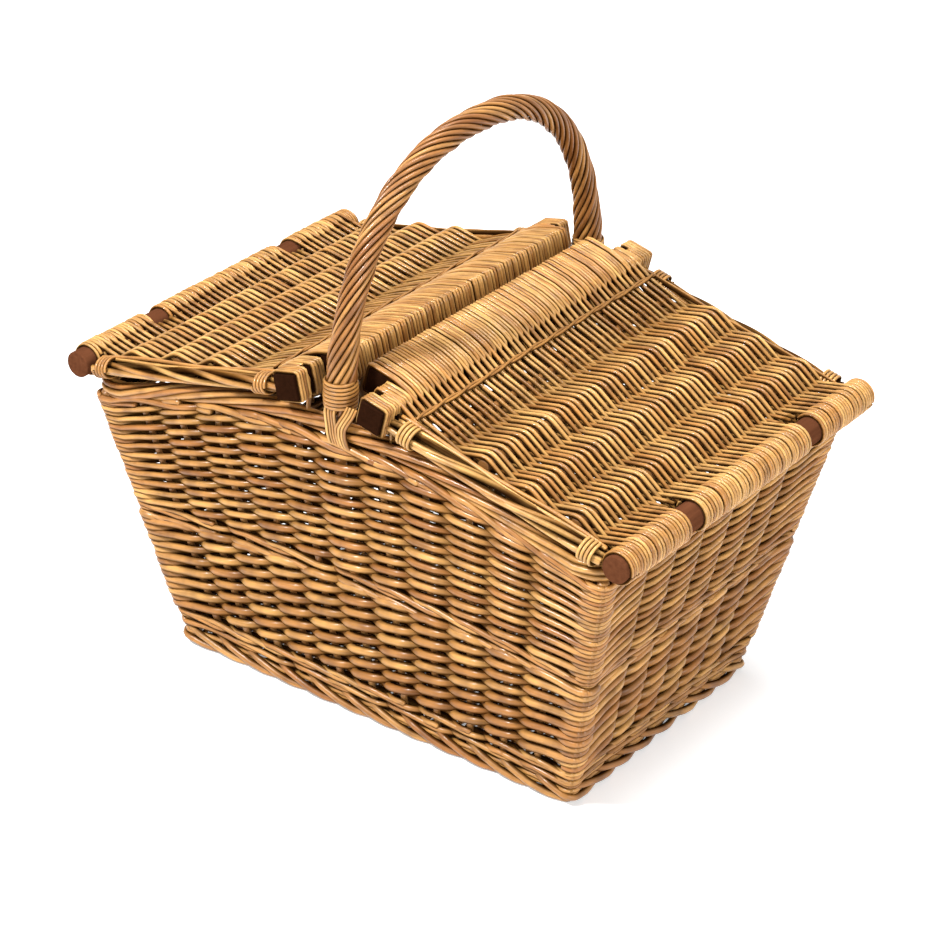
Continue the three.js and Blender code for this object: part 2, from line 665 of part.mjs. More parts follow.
// The inner bar, with a round neck for each hinge loop
function innerBar() {
  let bar = box(new THREE.Vector3(), barSize, barLength, barSize);
  for (const side of [-1, 1]) {
    const y = side * rimWidth / 2;
    const slice = box(new THREE.Vector3(0, y, 0), barSize + cutOverrun, neckLength, barSize + cutOverrun);
    bar = bar.subtract(slice.subtract(stickAlongY(0, 0, neckRadius, rimWidth + barSize, roundSides)));
  }
  return bar;
}

// The plaited rods along one side of a lid, with sockets for the cross sticks
function sideBorder(side) {
  const y = side * sideBorderMiddle;
  const rounding = Math.cos(Math.PI / octagonSides);
  const section = Array.from({ length: octagonSides }, (_, place) => {
    const turn = (2 * Math.PI * (place + 1 / 2)) / octagonSides;
    const across = (sideBorderWidth * Math.cos(turn)) / (2 * rounding);
    const high = (sideBorderThickness * Math.sin(turn)) / (2 * rounding);
    return new THREE.Vector3(0, y + across, high - sideBorderDrop);
  });
  const rings = [wrapHalf + seatGap, rollStart - seatGap]
    .map((s) => section.map((point) => new THREE.Vector3(s, point.y, point.z)));
  let border = solid(loft(rings));
  for (const { s, n, radius } of crossSticks) {
    border = border.subtract(stickAlongY(s, n, radius + seatGap, crossStickLength + 2 * seatGap, thinSides));
  }
  return border;
}

// A whole lid in its own frame: X down the slope from the hinge axis, Z square to the lid
function addLid(group, name, frontSide) {
  addPiece(group, `${name}_lid_inner_bar`, innerBar(), stainedWood);
  const tongue = box(new THREE.Vector3(tongueOffset, 0, tongueLift), barSize, tongueLength, barSize);
  addPiece(group, `${name}_lid_tongue_bar`, tongue, stainedWood);
  const outerStick = stickAlongY(outerStickOffset, 0, outerStickRadius, outerStickLength, roundSides);
  addPiece(group, `${name}_lid_outer_stick`, outerStick, stainedWood);
  addPiece(group, `${name}_lid_weave`, lidWeave(), willow);
  crossSticks.forEach(({ s, n, radius }, stick) => {
    const rod = stickAlongY(s, n, radius, crossStickLength, thinSides);
    addPiece(group, `${name}_lid_cross_stick_${stick + 1}`, rod, darkWillow);
  });
  for (const [end, side] of [['front', frontSide], ['back', -frontSide]]) {
    addPiece(group, `${name}_lid_border_${end}`, sideBorder(side), willow);
    for (const [place, s] of Object.entries(bindingPlaces)) {
      const label = `${name}_lid_binding_${end}_${place}`;
      const [across, deep] = [sideBorderThickness / 2, sideBorderWidth / 2];
      const turns = winding(label, across, deep, bindingRodRadius, bindingPitch, bindingTurns, bindingSteps);
      const binding = addPiece(group, label, turns, cane);
      binding.rotation.y = Math.PI / 2;
      binding.position.set(s, side * sideBorderMiddle, -sideBorderDrop);
    }
  }
}

const hamper = new THREE.Group();
const basket = new THREE.Group();
addBasket(basket);
addBase(basket);
addBorder(basket);
addHandle(basket);
hamper.add(basket);
for (const [name, turn, frontSide] of [['right', 0, -1], ['left', Math.PI, 1]]) {
  const place = new THREE.Group();
  place.rotation.z = turn;
  const lid = new THREE.Group();
  lid.position.set(hingeOffset, 0, hingeHeight);
  lid.rotation.y = lidSlope;
  addLid(lid, name, frontSide);
  place.add(lid);
  hamper.add(place);
}

export default hamper;
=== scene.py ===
# A willow picnic hamper with two sloping lids and a rope handle: its looks, in metres, +Z up.
import math

import bpy
import numpy as np
from mathutils import Matrix, Vector


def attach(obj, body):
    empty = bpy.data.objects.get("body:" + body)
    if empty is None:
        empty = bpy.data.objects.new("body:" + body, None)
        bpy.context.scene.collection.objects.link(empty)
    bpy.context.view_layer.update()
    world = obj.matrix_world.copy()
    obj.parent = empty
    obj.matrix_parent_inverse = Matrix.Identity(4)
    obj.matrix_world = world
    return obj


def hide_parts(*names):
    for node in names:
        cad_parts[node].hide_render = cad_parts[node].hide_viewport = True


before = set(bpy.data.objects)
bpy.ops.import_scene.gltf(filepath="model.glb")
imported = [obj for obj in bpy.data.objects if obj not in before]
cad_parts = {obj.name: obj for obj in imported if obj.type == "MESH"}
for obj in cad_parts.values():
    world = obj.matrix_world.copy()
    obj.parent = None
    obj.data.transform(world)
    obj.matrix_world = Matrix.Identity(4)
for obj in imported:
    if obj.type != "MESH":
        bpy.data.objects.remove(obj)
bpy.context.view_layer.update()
mm = 0.001
chance = np.random.default_rng(11)

# Basket body: half lengths and half widths between the middles of opposite walls
half_base = (188 * mm, 117 * mm)
half_rim = (243 * mm, 164 * mm)
rim_end_height = 244 * mm
gable_rise = 40 * mm
gable_flat = 50 * mm
gable_foot = 229 * mm
border_radius = 8 * mm
border_turn = 14 * mm  # radius of the border's corners
stake_radius = 3 * mm
post_radius = 5 * mm

# Places round the basket are counted in stations: a corner post or a stake each, from the front left
# corner post along the front wall, the right end, the back wall and the left end
post_stations = (0, 12, 20, 32)
wall_bays = (12, 8, 12, 8)
stations = 40
wall_names = ("front", "right", "back", "left")
bow_stations = (6, 26)
post_share = 0.14  # share of a bay in which a rod turns round a corner post
bay_steps = 8
flank_shade = 0.08  # how bright the painted shade leaves the flank of a rod
hidden_shade = 0.16  # how bright the painted shade leaves a rod where it passes behind a stake, or the side of a rod turned in

# Handle
handle_spring = 300 * mm
handle_rise = 181 * mm
handle_squareness = 2.3
bow_radius = 5 * mm
bow_tip = 150 * mm
rope_foot = 299 * mm
collar_foot = 303.5 * mm
collar_pitch = 3.2 * mm

# Lids: s runs down the slope from the hinge axis, n square to the lid
hinge_x = 40 * mm
hinge_z = 312 * mm
rest_distance = 22.2 * mm
stick_x = half_rim[0] + rest_distance * math.sqrt(0.5)
stick_z = rim_end_height + rest_distance * math.sqrt(0.5)
lid_slope = math.atan2(hinge_z - stick_z, stick_x - hinge_x)
stick_s = math.hypot(hinge_z - stick_z, stick_x - hinge_x)
outer_stick_radius = 11 * mm
outer_stick_length = 352 * mm
cross_stick_length = 314 * mm
cross_sticks = ((47 * mm, -4 * mm, 3 * mm),) + tuple(
    (47 * mm + lap * (stick_s - 96 * mm) / 3, 0.0, 5 * mm) for lap in (1, 2, 3)
)  # the place down the slope, the height and the radius of each
bar = 20 * mm
tongue_s = -20.3 * mm
tongue_n = 4 * mm
tongue_length = 294 * mm
lid_panel = 323 * mm
lid_strands = 90
lid_rod = 1.65 * mm
side_y = 168.3 * mm  # middle of the rods along each side of a lid


def deselect():
    bpy.ops.object.select_all(action="DESELECT")


class Bundle:
    """Rods of willow gathered into one woven piece."""

    def __init__(self):
        self.points, self.tones, self.shades, self.faces = [], [], [], []
        self.count = 0

    def rod(self, points, radius, ref, tone=None, sides=8, out=None, depth=1.0):
        """One round rod along its points. ref is square enough to it all the way. Its colour carries painted
        shade: its flanks across out are darkened. A depth below 1 darkens the side that faces out with
        painted shade, and the nearer depth is to 1, the darker the side that faces in."""
        points = np.asarray(points, float)
        radius = np.broadcast_to(np.asarray(radius, float), (len(points),))
        tone = chance.uniform() if tone is None else tone
        along, side, up = frames(points, ref)
        run = np.r_[0, np.cumsum(np.linalg.norm(np.diff(points, axis=0), axis=1))]
        run = run + chance.uniform(0, 3)
        self.tube(points, along, side, up, radius, run, tone, sides, (True, True), out, depth)

    def tube(self, points, along, side, up, radius, run, tone, sides, round_ends, out, depth):
        """The rod's skin: rings of vertices, with eased ends."""
        first, last = round_ends
        ease = 0.35
        depth = np.broadcast_to(np.asarray(depth, float), (len(points),))
        out = up * 0 if out is None else np.broadcast_to(np.asarray(out, float), points.shape)
        if first:
            points = np.r_[points[:1] - along[:1] * radius[0] * ease, points]
            side, up, along, out, depth = (np.r_[a[:1], a] for a in (side, up, along, out, depth))
            radius, run = np.r_[radius[0] * (1 - ease), radius], np.r_[run[0], run]
        if last:
            points = np.r_[points, points[-1:] + along[-1:] * radius[-1] * ease]
            side, up, along, out, depth = (np.r_[a, a[-1:]] for a in (side, up, along, out, depth))
            radius, run = np.r_[radius, radius[-1] * (1 - ease)], np.r_[run, run[-1]]
        turn = np.arange(sides) * 2 * math.pi / sides
        ring = side[:, None] * np.cos(turn)[None, :, None] + up[:, None] * np.sin(turn)[None, :, None]
        skin = points[:, None] + ring * radius[:, None, None]
        # painted shade: the skin is brightest where it faces along out or against it, and darker on the
        # flanks
        outward = np.einsum("rsk,rk->rs", ring, out)
        facing = np.clip((np.abs(outward) - 0.1) / 0.86, 0, 1)
        facing = flank_shade + (1 - flank_shade) * facing * facing * (3 - 2 * facing)
        facing = np.where(np.any(out), facing, 1.0)
        # painted shade: the side facing out takes depth, and the side facing in is the darker the further out
        # the rod lies
        inner_depth = np.clip(1 + hidden_shade - depth, hidden_shade, 1)
        depth = np.where(outward < 0, inner_depth[:, None], depth[:, None])
        self.shades.append((facing * depth).ravel())
        rings = len(points)
        start = self.count
        here = start + np.arange(rings * sides).reshape(rings, sides)
        nearby = np.roll(here, -1, axis=1)
        quads = np.stack((here[:-1], here[1:], nearby[1:], nearby[:-1]), axis=-1).reshape(-1, 4)
        around = np.arange(sides + 1) / sides
        v0 = np.broadcast_to(run[:-1, None], (rings - 1, sides))
        v1 = np.broadcast_to(run[1:, None], (rings - 1, sides))
        u0 = np.broadcast_to(around[None, :-1], v0.shape)
        u1 = np.broadcast_to(around[None, 1:], v0.shape)
        uv = np.stack((u0, v0, u0, v1, u1, v1, u1, v0), axis=-1).reshape(-1, 4, 2)
        self.points.append(skin.reshape(-1, 3))
        self.tones.append(np.full(rings * sides, tone))
        self.faces.append((quads, uv))
        caps = np.stack((here[0], here[-1][::-1]))
        cap_uv = np.stack((np.cos(turn), np.sin(turn)), axis=-1)[None] * 0.002 + run[[0, -1]][:, None, None]
        self.faces.append((caps, np.broadcast_to(cap_uv, (2, sides, 2))))
        self.count += rings * sides

    def piece(self, name, material, body, slot, *nodes):
        """The bundle as a Blender object that stands for its CAD nodes."""
        mesh = bpy.data.meshes.new(name)
        points = np.concatenate(self.points)
        loops = np.concatenate([face.ravel() for face, _ in self.faces])
        sizes = np.concatenate([np.full(len(face), face.shape[1]) for face, _ in self.faces])
        uvs = np.concatenate([uv.reshape(-1, 2) for _, uv in self.faces])
        mesh.vertices.add(len(points))
        mesh.vertices.foreach_set("co", points.ravel())
        mesh.loops.add(len(loops))
        mesh.loops.foreach_set("vertex_index", loops.astype(np.int32))
        mesh.polygons.add(len(sizes))
        starts = np.r_[0, np.cumsum(sizes)[:-1]]
        mesh.polygons.foreach_set("loop_start", starts.astype(np.int32))
        mesh.polygons.foreach_set("use_smooth", sizes == 4)
        mesh.update(calc_edges=True)
        mesh.uv_layers.new(name="UVMap").data.foreach_set("uv", uvs.ravel())
        mesh.attributes.new("tone", "FLOAT", "POINT").data.foreach_set("value", np.concatenate(self.tones))
        mesh.attributes.new("shade", "FLOAT", "POINT").data.foreach_set("value", np.concatenate(self.shades))
        mesh.materials.append(material)
        thing = bpy.data.objects.new(name, mesh)
        bpy.context.scene.collection.objects.link(thing)
        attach(thing, body)
        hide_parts(*nodes)
        return thing


def frames(points, ref):
    """Directions along a rod, to its side and up, at each of its points."""
    along = np.gradient(points, axis=0)
    along /= np.linalg.norm(along, axis=1, keepdims=True)
    side = np.cross(along, ref)
    side /= np.linalg.norm(side, axis=1, keepdims=True)
    return along, side, np.cross(side, along)


# Walls

def around_basket(station, height, out, turn=0.0):
    """Points at stations round the basket, at heights, that far outside the middle of the walls."""
    station = np.asarray(station, float) % stations
    wall = np.searchsorted(post_stations, station, side="right") - 1
    bays = np.asarray(wall_bays)[wall]
    local = station - np.asarray(post_stations)[wall]
    lean = np.minimum(height / rim_end_height, 1)
    length = half_base[0] + (half_rim[0] - half_base[0]) * lean - turn
    width = half_base[1] + (half_rim[1] - half_base[1]) * lean - turn
    long_wall = wall % 2 == 0
    along_half = np.where(long_wall, length, width)
    out_half = np.where(long_wall, width, length)
    share = 2 * local / bays - 1
    first = 2 * np.clip(local - post_share, 0, None) / (1 - post_share) / bays - 1
    last = 1 - 2 * np.clip(bays - local - post_share, 0, None) / (1 - post_share) / bays
    share = np.where(local < 1, first, np.where(local > bays - 1, last, share))
    round_first = -np.clip(1 - local / post_share, 0, 1)
    round_last = np.clip(1 - (bays - local) / post_share, 0, 1)
    lean_round = (round_first + round_last) * math.pi / 4
    u = share * along_half + (out + turn) * np.sin(lean_round)
    w = out_half + (out + turn) * np.cos(lean_round)
    right = np.array(((1, 0), (0, 1), (-1, 0), (0, -1)))[wall]
    outward = np.array(((0, -1), (1, 0), (0, 1), (-1, 0)))[wall]
    flat = right * u[..., None] + outward * w[..., None]
    return np.dstack((flat[..., 0], flat[..., 1], height * np.ones_like(u)))[0]


def wall_outward(station, height):
    """The directions out of the basket at stations."""
    step = around_basket(station, height, mm) - around_basket(station, height, 0.0)
    return step / np.linalg.norm(step, axis=1, keepdims=True)


def walk(start, stop):
    """Stations from start to stop, closer together where a rod turns round a post."""
    plain = np.arange(math.ceil(start * bay_steps), math.floor(stop * bay_steps) + 1) / bay_steps
    laps = np.arange(math.floor(start / stations), math.ceil(stop / stations) + 1) * stations
    posts = (laps[:, None] + np.array(post_stations)[None]).ravel()
    turning = np.array((-1, -0.5, 0, 0.5, 1)) * post_share
    near = (posts[:, None] + turning[None]).ravel()
    plain = plain[np.min(np.abs(plain[:, None] - posts[None]), axis=1) > post_share * 1.3]
    every = np.unique(np.round(np.r_[start, plain, near, stop], 5))
    return every[(every >= start - 1e-6) & (every <= stop + 1e-6)]


def smooth_between(values, station):
    """A value given at whole stations, eased between them."""
    before = np.floor(station).astype(int)
    share = np.clip((station - before - 0.5) * 1.5 + 0.5, 0, 1)
    share = (1 - np.cos(share * math.pi)) / 2
    return values(before) * (1 - share) + values(before + 1) * share


def wobble(size, station, first):
    """Small seeded unevenness of a rod, a value at each whole station."""
    values = chance.normal(0, size, int(station[-1] - first) + 4)
    return smooth_between(lambda k: values[np.clip(k - first, 0, len(values) - 1)], station)


def gable(station):
    """How much higher the border runs than at the ends."""
    station = np.asarray(station, float) % stations
    wall = np.searchsorted(post_stations, station, side="right") - 1
    local = station - np.asarray(post_stations)[wall]
    x = np.abs(2 * local / 12 - 1) * half_rim[0]
    x = np.clip(x, gable_flat, gable_foot)
    rise = gable_rise * (gable_foot**2 - x**2) / (gable_foot**2 - gable_flat**2)
    return np.where(wall % 2 == 0, rise, 0)


weave_foot = 14.3 * mm
weave_top = rim_end_height - border_radius
arch_power = 1.8


def arched(station, level):
    """The height of a level row of the weave, which follows the arched rim more the nearer it is."""
    share = (level - weave_foot) / (weave_top - weave_foot)
    return level + gable(station) * np.clip(share, 0, 1) ** arch_power


def stake_reach(station, height):
    """How far a rod's middle stands off the wall's middle, less its own radius."""
    k = np.asarray(station) % stations
    reach = np.where(np.isin(k, post_stations), post_radius + 0.3 * mm, stake_radius)
    bow = np.isin(k, bow_stations) & (np.mean(height) > bow_tip)
    return np.where(bow, bow_radius, reach)


def wall_rod(walls, start, stop, inside, level, radius, tone=None):
    """A rod woven round the basket from one station to another. inside(k) says at which stations it passes
    behind the stake; level and radius are functions of the station. It is cut at the corner posts, so that
    each wall holds its own stretch."""
    station = walk(start, stop)
    height = level(station)
    r = radius(station)

    def offset(k):
        on_post = np.isin(k % stations, post_stations)
        return np.where(on_post | ~inside(k), 1.0, -1.0) * (stake_reach(k, height) + r[0]) * 0.74

    stretch = (arched(station, height + mm) - arched(station, height - mm)) / (2 * mm)
    r = r * stretch  # the rows spread towards the middle of the arch, and thicker rods fill them
    out = smooth_between(offset, station) + wobble(0.25 * mm, station, math.floor(start))
    # painted shade: a rod's outer side darkens where it passes behind a stake, and its inner side where it
    # runs in front
    depth = np.clip(0.56 + 0.5 * out / (stake_radius + r), hidden_shade, 1)
    height = arched(station, height) + 0.25 * out + wobble(0.3 * mm, station, math.floor(start))
    points = around_basket(station, height, out)
    # painted highlight and shade: out tilts upwards, so the upper outer side of each rod stays bright and its
    # lower outer side is darkened like a flank
    outward = wall_outward(station, height) * 0.85 + np.array((0, 0, 0.5))
    along, side, up = frames(points, (0, 0, 1))
    run = np.r_[0, np.cumsum(np.linalg.norm(np.diff(points, axis=0), axis=1))] + chance.uniform(0, 3)
    tone = chance.uniform() if tone is None else tone
    posts = np.array((*post_stations, stations))
    to_post = np.min(np.abs(station[:, None] % stations - posts[None]), axis=1)
    at_post = np.flatnonzero(to_post < 1e-4).tolist()
    ends = sorted({0, len(station) - 1, *at_post})
    for a, b in zip(ends, ends[1:]):
        middle = (station[a] + station[b]) / 2 % stations
        wall = int(np.searchsorted(post_stations, middle, side="right")) - 1
        part = slice(a, b + 1)
        eased = (a == 0, b == len(station) - 1)
        stretches = (points[part], along[part], side[part], up[part], r[part], run[part])
        walls[wall].tube(*stretches, tone, 8, eased, outward[part], depth[part])


def rand(walls, bottom, top, rows, first_pitch, last_pitch):
    """A band of rods started at every stake, each rising a row at every stake that it passes."""
    pitch = np.linspace(first_pitch, last_pitch, rows + 1)
    edges = np.r_[0, np.cumsum((pitch[1:] + pitch[:-1]) / 2)]
    edges = bottom + edges * (top - bottom) / edges[-1]
    thick = pitch * (top - bottom) / (np.sum((pitch[1:] + pitch[:-1]) / 2))
    for start in range(stations):
        size = chance.uniform(0.92, 1.06)
        wall_rod(
            walls, start - 0.25, start + rows + 0.9,
            lambda k, start=start: (k - start) % 2 == 0,
            lambda t, start=start: np.interp(t - start, np.arange(rows + 1), edges) + thick[0] / 2,
            lambda t, start=start: size * np.interp(t - start, np.arange(rows + 1), thick) * 0.61,
        )


def waling(walls, bottom, rod_radius, rounds):
    """Rounds of three rods, each in front of two stakes and behind the third."""
    for row in range(rounds):
        for strand in range(3):
            first = strand + chance.integers(0, 4) * 3
            middle = bottom + (2 * row + 1) * 2 * rod_radius * 0.96

            def level(t, first=first, middle=middle):
                phase = (t - first) % 3
                return middle + np.interp(phase, (0, 1, 2, 3), (0, 0.4, -0.4, 0)) * 2 * rod_radius

            wall_rod(walls, first - 0.2, first + stations + 0.1, lambda k, first=first: (k - first) % 3 == 0,
                     level, lambda t: np.full(len(t), rod_radius * chance.uniform(0.95, 1.03)))


def weave_walls(material):
    walls = [Bundle() for _ in wall_names]
    waling(walls, 6 * mm, 2.2 * mm, 1)
    waling(walls, 14.6 * mm, 2.4 * mm, 2)
    rand(walls, 34 * mm, 120 * mm, 15, 6.0 * mm, 5.4 * mm)
    waling(walls, 119.5 * mm, 2.2 * mm, 2)
    rand(walls, 134.5 * mm, 227 * mm, 22, 4.5 * mm, 3.9 * mm)
    waling(walls, 226.5 * mm, 2.4 * mm, 1)
    for name, bundle in zip(wall_names, walls):
        bundle.piece(f"{name}_wall_rods", material, "basket", "willow_weave", f"{name}_weave")


def set_stakes(material):
    for wall, name in enumerate(wall_names):
        bundle = Bundle()
        for k in range(post_stations[wall] + 1, post_stations[wall] + wall_bays[wall]):
            top = rim_end_height + float(gable(k)) - border_radius
            top = bow_tip - 1 * mm if k in bow_stations else top
            height = np.array((5 * mm, 40 * mm, 120 * mm, min(top, rim_end_height), top + 0.1 * mm))
            points = around_basket(np.full(5, float(k)), height, np.zeros(5))
            bundle.rod(points, np.linspace(3.0, 2.6, 5) * mm, (1, 0, 0) if wall % 2 else (0, 1, 0))
        bundle.piece(f"{name}_wall_stakes", material, "basket", "willow_stake", f"{name}_stakes")


def set_posts(material):
    corners = {"front_left": (-1, -1), "front_right": (1, -1), "back_right": (1, 1), "back_left": (-1, 1)}
    for name, (x, y) in corners.items():
        bundle = Bundle()
        height = np.array((5 * mm, 60 * mm, 150 * mm, 236 * mm))
        lean = height / rim_end_height
        points = np.stack((x * (half_base[0] + (half_rim[0] - half_base[0]) * lean),
                           y * (half_base[1] + (half_rim[1] - half_base[1]) * lean), height), axis=-1)
        bundle.rod(points, 4.8 * mm, (1, 0, 0), sides=12)
        bundle.piece(f"{name}_post", material, "basket", "willow_stake", f"corner_post_{name}")


# Base: a mat of rods across the hamper, over and under five sticks that run along it

def weave_base(material, stick_material):
    middle, stick_radius, rod_radius = 8 * mm, 3.3 * mm, 1.9 * mm
    half_length = half_base[0] - 4 * mm
    half_width = half_base[1] - 4 * mm
    places = [half_width * (2 * stick / 6 - 1) for stick in range(1, 6)]
    for number, y in enumerate(places, 1):
        stick = Bundle()
        ends = np.linspace(-half_length + 3 * mm, half_length - 3 * mm, 8)
        path = np.stack((ends, np.full(8, y), np.full(8, middle)), axis=-1)
        stick.rod(path, stick_radius, (0, 0, 1), sides=16)
        stick.piece(f"base_rod_{number}", stick_material, "basket", "willow_stake", f"base_stick_{number}")
    mat = Bundle()
    count = 88
    lift = stick_radius + rod_radius
    for row in range(count):
        x = ((row + 0.5) / count * 2 - 1) * (half_length - 1 * mm)
        turns = [(-half_width, 0.0)]
        for lap, y in enumerate(places):
            turns.append((y, lift if (lap + row) % 2 == 0 else -lift))
        turns.append((half_width, 0.0))
        path = rounded([(y, z) for y, z in turns], 4 * mm, 16 * mm)
        x = np.full(len(path), x) + chance.normal(0, 0.2 * mm)
        points = np.stack((x, path[:, 0], middle + path[:, 1]), axis=-1)
        mat.rod(points, rod_radius * chance.uniform(0.94, 1.05), (1, 0, 0))
    mat.piece("base_mat_rods", material, "basket", "willow_weave", "base_weave")


# Foot: each stake's end comes out under the waling, slants down to the right and runs along the bottom edge

def weave_foot_border(material):
    bundle = Bundle()
    laps = np.array((-0.2, 0.3, 1.0, 1.5, 2.0, 2.6, 3.0))
    heights = np.array((19, 14, 7.5, 3.7, 2.7, 2.5, 2.5)) * mm
    outs = np.array((-1, 6.3, 8.6, 8.0, 4.4, 0.4, -2.6)) * mm
    sizes = np.array((2.6, 2.9, 3.0, 2.9, 2.5, 2.1, 1.6)) * mm
    for start in range(stations):
        station = walk(start - 0.2, start + 3)
        lap = station - start
        shift = chance.normal(0, 0.06)
        height = np.interp(lap + shift, laps, heights)
        out = np.interp(lap + shift, laps, outs)
        kernel = np.array((1, 2, 1)) / 4
        for values in (height, out):
            values[1:-1] = np.convolve(values, kernel, "valid")
        points = around_basket(station, height, out)
        # painted shade: flanks darkened, and the outer side darker the further in the rod tucks
        bundle.rod(points, np.interp(lap, laps, sizes), (0, 0, 1), out=wall_outward(station, height),
                   depth=np.clip(0.4 + 0.6 * out / (6 * mm), 0.3, 1))
    bundle.piece("foot_border", material, "basket", "willow_weave", "foot_wale")


# Border: each stake's end runs along the rim and winds slowly round the others

def weave_border(material):
    bundle = Bundle()
    span = 6.0
    for start in range(stations):
        station = walk(start - 0.1, start + span)
        lap = station - start
        angle = np.radians(-125 + 52 * lap + chance.normal(0, 7))
        wide = 5.0 * mm
        out = wide * np.cos(angle)
        height = rim_end_height + gable(station) + wide * np.sin(angle)
        r = np.interp(lap, (0, 4, span), (3.1, 2.6, 1.6)) * mm * chance.uniform(0.9, 1.05)
        middle = around_basket(station, height * 0 + rim_end_height, out, border_turn)
        middle[:, 2] = height
        # painted shade: out turns with the rod's winding, darkening its flanks and the side turned in
        outward = wall_outward(station, height) * np.cos(angle)[:, None]
        outward[:, 2] = np.sin(angle)
        bundle.rod(middle, r, (0, 0, 1), out=outward)
    bundle.piece("rim_rods", material, "basket", "willow_border", "rim_border")


# Handle

def handle_line(share):
    """The handle's middle, from the front leg over to the back one, as Y and Z."""
    leg = handle_spring - rope_foot
    arch = handle_rise + half_rim[1]
    leg_share = leg / (leg + arch)
    along = 1 - np.abs(1 - 2 * share)
    side = np.where(share < 0.5, -1, 1)
    angle = np.clip((along - leg_share) / (1 - leg_share), 0, 1) * math.pi / 2
    y = half_rim[1] * np.cos(angle) ** (2 / handle_squareness)
    z = handle_spring + handle_rise * np.sin(angle) ** (2 / handle_squareness)
    straight = along < leg_share
    z = np.where(straight, rope_foot + along / leg_share * leg, z)
    y = np.where(straight, half_rim[1], y)
    return side * y, z


def handle_frame(count):
    """Even steps along the handle: its points, and the directions along it and square to it."""
    share = np.linspace(0, 1, 2001)
    y, z = handle_line(share)
    run = np.r_[0, np.cumsum(np.hypot(np.diff(y), np.diff(z)))]
    even = np.linspace(0, run[-1], count)
    points = np.stack((np.zeros(count), np.interp(even, run, y), np.interp(even, run, z)), axis=-1)
    kernel = np.ones(5) / 5
    for axis in (1, 2):
        padded = np.r_[[points[0, axis]] * 2, points[:, axis], [points[-1, axis]] * 2]
        points[2:-2, axis] = np.convolve(padded, kernel, "valid")[2:-2]
    along = np.gradient(points, axis=0)
    along /= np.linalg.norm(along, axis=1, keepdims=True)
    across = np.broadcast_to((1.0, 0, 0), points.shape)
    return points, along, across, np.cross(across, along), even


def twist_handle(material):
    bundle = Bundle()
    strands, turns, count = 12, 4.3, 190
    points, along, across, rise, run = handle_frame(count)
    share = run / run[-1]
    slim = 1 - 0.13 * np.clip(4 * np.sin(share * math.pi) - 0.8, 0, 1)
    squeeze = np.exp(-((np.minimum(share, 1 - share) / 0.035) ** 4))  # by the collars
    slim = slim * (1 - 0.12 * squeeze)
    for strand in range(strands):
        angle = 2 * math.pi * (strand / strands - turns * share)
        lift = 9.7 * mm * slim + 0.45 * mm * math.sin(strand * 2.3)
        outward = across * np.cos(angle)[:, None] + rise * np.sin(angle)[:, None]
        size = 2.35 * mm * slim * chance.uniform(0.9, 1.06)
        # painted shade: each strand's flanks and its side towards the rope's middle are darkened, as dark
        # grooves between strands
        bundle.rod(points + outward * lift[:, None], size, (1, 0, 0), sides=10, out=outward)
    bundle.piece("handle_strands", material, "basket", "willow_rope", "handle_rope")

    core = Bundle()
    points, along, across, rise, run = handle_frame(80)
    legs = []
    for side in (-1, 1):
        height = np.linspace(bow_tip, rope_foot, 12)[:-1]
        lean = np.minimum(height / rim_end_height, 1)
        y = side * (half_base[1] + (half_rim[1] - half_base[1]) * lean)
        legs.append(np.stack((np.zeros(11), y, height), axis=-1))
    path = np.concatenate((legs[0], points, legs[1][::-1]))
    core.rod(path, bow_radius * 0.98, (1, 0, 0), sides=12)
    core.piece("handle_core", material, "basket", "willow_stake", "handle_bow")


def wind_collars(material):
    for side, name in ((-1, "front"), (1, "back")):
        bundle = Bundle()
        turns, steps = 7, 22
        t = np.arange(turns * steps + 1) / steps
        wide = 11.7 * mm + 0.7 * mm * np.sin(t / turns * math.pi)
        angle = 2 * math.pi * t
        outward = np.stack((np.cos(angle), np.sin(angle), angle * 0), axis=-1)
        foot = np.stack((t * 0, t * 0 + side * half_rim[1], collar_foot + t * collar_pitch), axis=-1)
        # painted shade: the flanks of each turn and its side towards the handle are darkened
        bundle.rod(foot + outward * wide[:, None], 1.55 * mm, (0, 0, 1), out=outward)
        bundle.piece(f"collar_{name}", material, "basket", "willow_binding", f"handle_collar_{name}")


def tie_lashings(material):
    """Rods from under each collar, over the border and into the wall."""
    heights = np.array((308, 302, 296, 290, 283, 275, 266)) * mm
    outs = {"a": (9.5, 11.6, 10.8, 10.0, 9.8, 8.6, 2.0), "b": (6.5, 8.2, 9.8, 10.2, 9.8, 8.6, 2.0)}
    drifts = {"a": (0, 0, 0, 0.3, 0.9, 2.4, 5.5), "b": (7.5, 5.5, 2.2, -0.8, -1.0, 0.8, 4.5)}
    for side, name in ((-1, "front"), (1, "back")):
        for mark, x in (("a", -1.5 * mm), ("b", 8.5 * mm)):
            bundle = Bundle()
            for rod in range(4):
                place = x + (rod - 1.5) * 2.8 * mm
                t = np.linspace(0, 6, 25)
                smooth = [np.interp(t, np.arange(7), v) for v in (heights, outs[mark], drifts[mark])]
                for values in smooth:
                    values[1:-1] = (values[:-2] + 2 * values[1:-1] + values[2:]) / 4
                height, out, shift = smooth
                out = out * mm + chance.normal(0, 0.3 * mm)
                path = np.stack((place - side * shift * mm, side * (half_rim[1] + out), height), axis=-1)
                # painted shade: the flanks of each rod and its side towards the basket are darkened
                bundle.rod(path, chance.uniform(1.25, 1.45) * mm, (1, 0, 0), out=(0, side, 0))
            node = f"handle_lashing_{name}_{mark}"
            bundle.piece(f"lashing_{name}_{mark}", material, "basket", "willow_binding", node)


